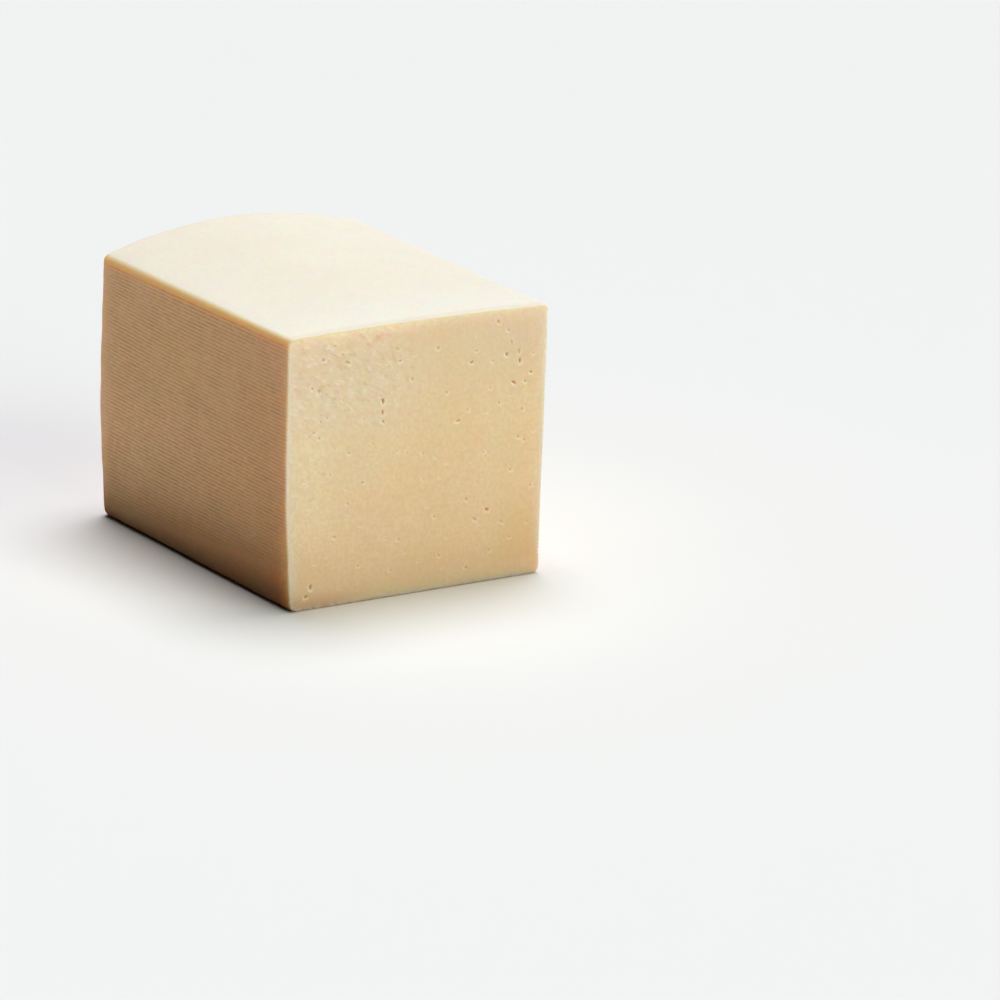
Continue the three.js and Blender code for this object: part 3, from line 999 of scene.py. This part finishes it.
def floor_material():
    material = bpy.data.materials.new("pale_floor")
    material.use_nodes = True
    sheet = Wire(material.node_tree)
    shader = material.node_tree.nodes["Principled BSDF"]
    speck = sheet.node("ShaderNodeTexNoise", {}, {"Scale": 40.0, "Detail": 2.0}, "Fac")
    pale = speck.tint(paint(236, 233, 217), paint(238, 235, 219))
    place = sheet.node("ShaderNodeTexCoord", {}, {}, "Object")
    left, front = (0 - sheet.node("ShaderNodeSeparateXYZ", {}, {0: place}, axis) for axis in "XY")
    by_cut = front.between(*FRONT_STRIP[:2]) - front.between(*FRONT_STRIP[2:])
    by_side = left.between(*LEFT_STRIP[:2]) - (left - front * STRIP_TAPER).between(*LEFT_STRIP[2:])
    by_side = by_side * (1 - front.between(*BESIDE))
    given_back = by_side.tint(by_cut.tint(RETURN_FAR, RETURN_FRONT), RETURN_LEFT)
    seen = sheet.node("ShaderNodeLightPath", {}, {}, "Is Camera Ray")
    colour = seen.tint(given_back, pale)
    material.node_tree.links.new(colour.socket, shader.inputs["Base Color"])
    shader.inputs["Roughness"].default_value = FLOOR_ROUGHNESS
    shader.inputs["Specular IOR Level"].default_value = FLOOR_SHINE
    return material


pale_floor = floor_material()
print("nodes in the floor:", len(pale_floor.node_tree.nodes))

# %% Lay the floor
FLOOR_REACH = 20.0  # metres each way


def lay_floor():
    mesh = bpy.data.meshes.new("floor")
    reach = FLOOR_REACH
    corners = [(-reach, -reach, 0), (reach, -reach, 0), (reach, reach, 0), (-reach, reach, 0)]
    mesh.from_pydata(corners, [], [(0, 1, 2, 3)])
    mesh.materials.append(pale_floor)
    floor = bpy.data.objects.new("floor", mesh)
    bpy.context.scene.collection.objects.link(floor)
    floor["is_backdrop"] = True
    return floor


print("floor laid:", lay_floor().dimensions[:2])

# %% [markdown]
# ## The light
# The light is a soft studio light: a wide, slightly cool one from above and a fill from the front
# right, so that the ridged left side stays in shade. Area lamps would do it too, but they fade with
# distance. Suns with a wide angle light the whole floor alike, and their shadows are as soft.

# %% Hang the lights
LIGHTS = [  # name, direction towards it, strength, colour, spread in degrees
    ("above", (0.183, 0.183, 0.966), 3.62, (0.807, 0.825, 1.0), 40),
    ("front_right", (0.28, -0.91, 0.3), 1.79, (0.835, 1.0, 0.92), 50),
]


def hang(name, towards, strength, colour, spread):
    data = bpy.data.lights.new(name, "SUN")
    data.energy = strength
    data.color = colour
    data.angle = math.radians(spread)
    light = bpy.data.objects.new(name, data)
    light.rotation_euler = Vector(towards).to_track_quat("Z", "Y").to_euler()
    bpy.context.scene.collection.objects.link(light)


for light in LIGHTS:
    hang(*light)
print("lights:", [light[0] for light in LIGHTS])

# %% Set the pale surroundings
AMBIENT = (0.01, 0.009, 0.008, 1.0)  # the little light that comes from all round


def pale_world():
    world = bpy.data.worlds.new("studio")
    bpy.context.scene.world = world
    world.use_nodes = True
    sheet = Wire(world.node_tree)
    seen = sheet.node("ShaderNodeLightPath", {}, {}, "Is Camera Ray")
    colour = seen.tint(AMBIENT, paint(250, 249, 246))
    world.node_tree.links.new(colour.socket, world.node_tree.nodes["Background"].inputs["Color"])
    return world


bpy.context.scene.view_settings.view_transform = "Standard"
print("surroundings:", pale_world().name)

# %% [markdown]
# ## Measure and finish
# The looks must not change the object's size, so the box of the packed block and the box of the
# dressed one are printed side by side.

# %% Print both sizes
visual_box = [list(corner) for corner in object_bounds()]
for name, box in (("packed", cad_box), ("dressed", visual_box)):
    print(name, "box, mm:", [[round(part / MM, 2) for part in corner] for corner in box])
